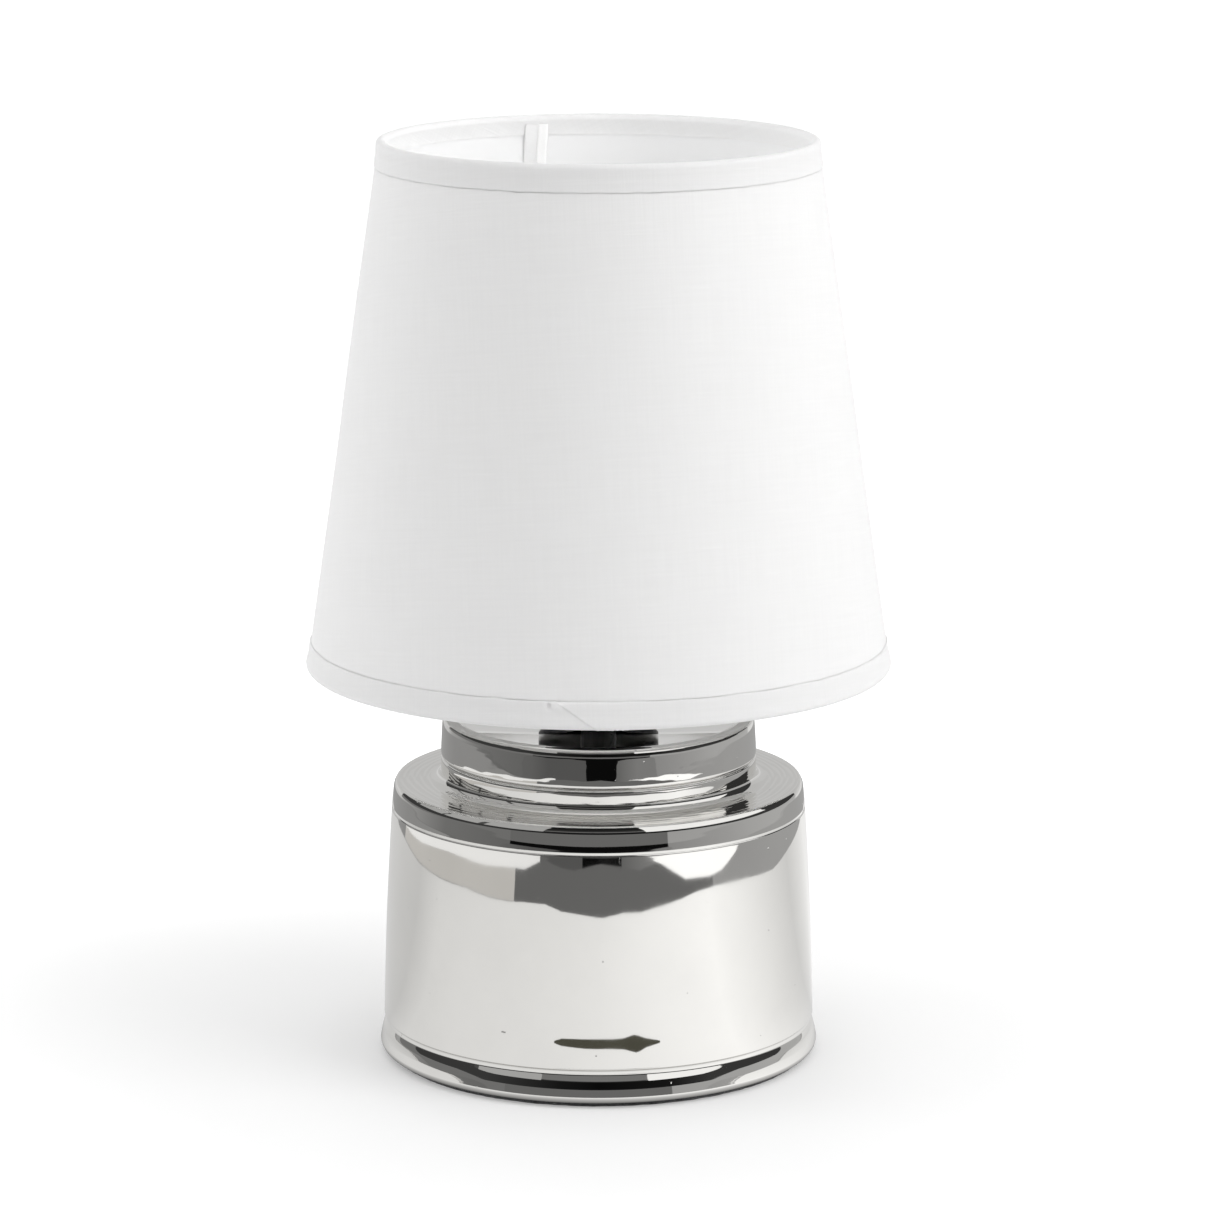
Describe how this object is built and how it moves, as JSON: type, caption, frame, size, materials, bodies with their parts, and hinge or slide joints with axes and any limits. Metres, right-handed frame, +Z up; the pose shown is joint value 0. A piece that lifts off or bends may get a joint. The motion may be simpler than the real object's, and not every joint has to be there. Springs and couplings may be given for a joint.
{
  "type": "table lamp",
  "caption": "Small table lamp: round metallised ceramic base with a stepped neck, screw-in globe bulb and a white tapered fabric shade that turns on its holder.",
  "frame": {"origin": "centre of the pad's underside, on the plane that the lamp stands on", "axes": "+Z up along the lamp's axis; -Y is the front that the picture shows, +Y is the back with the cable gland, +X is to the viewer's right"},
  "size_m": [0.17, 0.17, 0.2685],
  "materials": {
    "felt_black": "matte",
    "fibre_board": "matte",
    "mirror_glaze": "polished",
    "black_rubber": "matte",
    "zinc_steel": "satin",
    "black_phenolic": "satin",
    "brass": "satin",
    "nickel": "satin",
    "black_insulator": "gloss",
    "white_plastic": "satin",
    "opal_globe": "gloss",
    "white_steel": "satin",
    "liner_sheet": "satin",
    "white_fabric": "matte"
  },
  "bodies": {
    "stand": {"felt_pad": "felt_black", "base_board": "fibre_board", "base_shell": "mirror_glaze", "cable_gland": "black_rubber", "nipple": "zinc_steel", "nipple_nut": "zinc_steel", "lock_washer": "zinc_steel", "inner_washer": "zinc_steel", "neck_cap": "black_phenolic", "holder_cap": "black_phenolic", "grub_screw": "zinc_steel", "holder_core": "black_phenolic", "terminal_screw_left": "brass", "terminal_screw_right": "brass", "screw_shell": "brass", "centre_contact": "brass", "holder_skirt": "black_phenolic"},
    "shade": {"fitter_ring": "white_steel", "fitter_arm_1": "white_steel", "fitter_arm_2": "white_steel", "fitter_arm_3": "white_steel", "bottom_wire": "white_steel", "top_wire": "white_steel", "shade_liner": "liner_sheet", "shade_fabric": "white_fabric", "seam_strip": "white_fabric", "bottom_hem": "white_fabric", "top_hem": "white_fabric"},
    "shade_ring": {"shade_ring": "black_phenolic"},
    "bulb_tip": {"bulb_eyelet": "nickel"},
    "bulb": {"bulb_insulator": "black_insulator", "bulb_cap": "nickel", "bulb_collar": "white_plastic", "led_board": "white_plastic", "bulb_globe": "opal_globe"}
  },
  "joints": [
    {"name": "shade_turn", "type": "hinge", "parent": "stand", "child": "shade", "pos_m": [0, 0, 0.1338], "axis": [0, 0, 1], "continuous": true},
    {"name": "shade_ring_turn", "type": "hinge", "parent": "stand", "child": "shade_ring", "pos_m": [0, 0, 0.1356], "axis": [0, 0, 1], "range_deg": [0, 1440]},
    {"name": "bulb_rise", "type": "slide", "parent": "stand", "child": "bulb_tip", "axis": [0, 0, 1], "range_m": [0, 0.0142]},
    {"name": "bulb_turn", "type": "hinge", "parent": "bulb_tip", "child": "bulb", "pos_m": [0, 0, 0.1278], "axis": [0, 0, 1], "range_deg": [0, 1800]}
  ],
  "couplings": [
    {"joint": "bulb_rise", "follows": "bulb_turn", "m_per_rad": 0.00044913}
  ]
}
